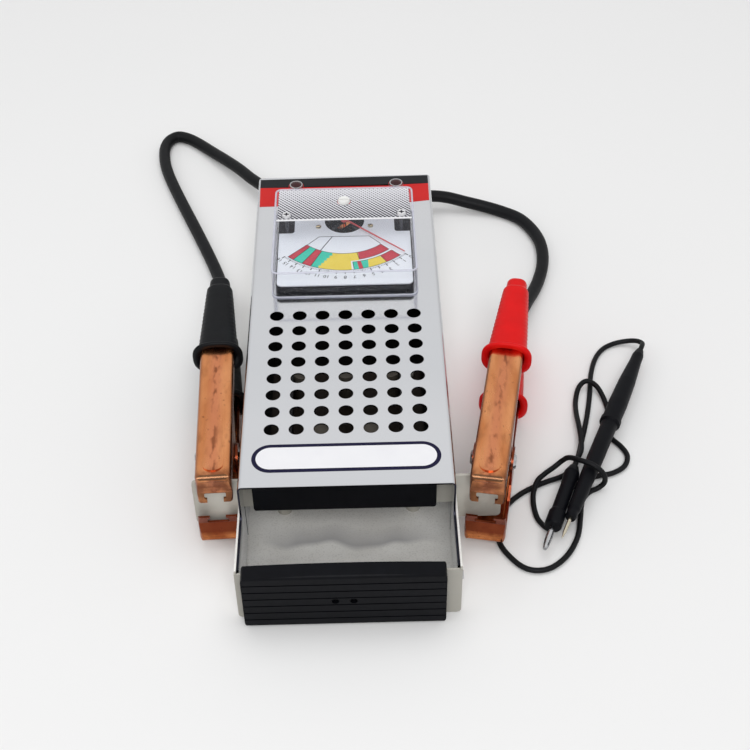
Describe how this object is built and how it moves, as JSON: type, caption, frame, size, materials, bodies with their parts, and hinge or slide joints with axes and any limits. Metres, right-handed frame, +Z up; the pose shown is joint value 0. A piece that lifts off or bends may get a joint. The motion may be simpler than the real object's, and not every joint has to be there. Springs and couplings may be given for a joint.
{
  "type": "battery load tester",
  "caption": "Hand-held battery load tester in a vented sheet-metal case, with an analogue meter, a push bar in its handle, spring clamps on short cables and a loose test lead.",
  "frame": {"origin": "middle of the tray's underside, on the surface it lies on", "axes": "+Z up, +Y towards the end where the cables leave, +X to the red clamp"},
  "size_m": [0.3175, 0.4485, 0.078],
  "materials": {
    "polished_steel": "polished stainless sheet",
    "dull_steel": "dull galvanised sheet",
    "bright_screws": "zinc-plated steel",
    "black_plastic": "moulded black plastic",
    "copper": "copper-plated steel",
    "brass": "plain brass",
    "board": "laminated insulating board",
    "ceramic": "unglazed ceramic",
    "clear": "clear styrene",
    "dial_white": "printed white plate",
    "needle_red": "painted red",
    "lamp_red": "red lens",
    "bezel": "bright ring",
    "jack_red": "moulded red plastic",
    "black_rubber": "black rubber",
    "red_vinyl": "red dipped vinyl"
  },
  "bodies": {
    "housing": {"front_cover": "polished_steel", "base_tray": "dull_steel", "cover_screws": "bright_screws", "handle_grip": "black_plastic", "grip_screws": "bright_screws", "clamp_rest": "dull_steel", "return_springs": "bright_screws", "load_board": "board", "board_posts": "bright_screws", "contact_posts": "brass", "load_strip": "bright_screws", "strip_posts": "ceramic", "meter_base": "black_plastic", "meter_cover": "clear", "meter_dial": "dial_white", "dial_screws": "bright_screws", "meter_cover_screws": "bright_screws", "magnet": "bright_screws", "meter_bridge": "bright_screws", "meter_studs": "brass", "meter_nuts": "bright_screws", "lamps": "lamp_red", "lamp_bezels": "bezel", "test_jack": "jack_red", "jack_nut": "bright_screws", "black_gland": "black_rubber", "red_gland": "black_rubber", "black_lower_jaw": "copper", "black_rivet": "bright_screws", "black_spring": "bright_screws", "black_lower_sleeve": "black_rubber", "red_lower_jaw": "copper", "red_rivet": "bright_screws", "red_spring": "bright_screws", "red_lower_sleeve": "red_vinyl", "black_cable": "black_rubber", "red_cable": "black_rubber", "lead_wire": "black_rubber", "probe_shaft": "black_plastic", "probe_cap": "black_plastic", "probe_needle": "brass", "plug_body": "black_plastic", "plug_pin": "bright_screws"},
    "load_switch": {"push_bar": "black_plastic", "guide_pins": "bright_screws", "pin_clips": "bright_screws", "contact_bridge": "copper"},
    "needle_arm": {"needle": "needle_red", "moving_coil": "copper"},
    "zero_screw": {"zero_adjuster": "dial_white"},
    "black_clamp_top": {"black_upper_jaw": "copper", "black_upper_sleeve": "black_rubber"},
    "red_clamp_top": {"red_upper_jaw": "copper", "red_upper_sleeve": "red_vinyl"}
  },
  "joints": [
    {"name": "load_switch_push", "type": "slide", "parent": "housing", "child": "load_switch", "axis": [0, 1, 0], "range_m": [0, 0.004], "stiffness_N_per_m": 1500, "springref_m": -0.003, "deforming": ["return_springs"]},
    {"name": "needle_swing", "type": "hinge", "parent": "housing", "child": "needle_arm", "pos_m": [0, 0.0955, 0.06], "axis": [0, 0, -1], "range_deg": [0, 92], "stiffness_Nm_per_rad": 0.0002, "springref_deg": -11.46},
    {"name": "zero_adjust", "type": "hinge", "parent": "housing", "child": "zero_screw", "pos_m": [0, 0.099, 0.074], "axis": [0, 0, 1], "range_deg": [-60, 60]},
    {"name": "black_clamp_squeeze", "type": "hinge", "parent": "housing", "child": "black_clamp_top", "pos_m": [-0.0693, -0.0705, 0.03155], "axis": [-0.9992, -0.0401, 0], "range_deg": [0, 10], "stiffness_Nm_per_rad": 4, "springref_deg": -17.19, "deforming": ["black_spring"]},
    {"name": "red_clamp_squeeze", "type": "hinge", "parent": "housing", "child": "red_clamp_top", "pos_m": [0.078, -0.076, 0.03155], "axis": [-0.9823, 0.1874, 0], "range_deg": [0, 10], "stiffness_Nm_per_rad": 4, "springref_deg": -17.19, "deforming": ["red_spring"]}
  ]
}
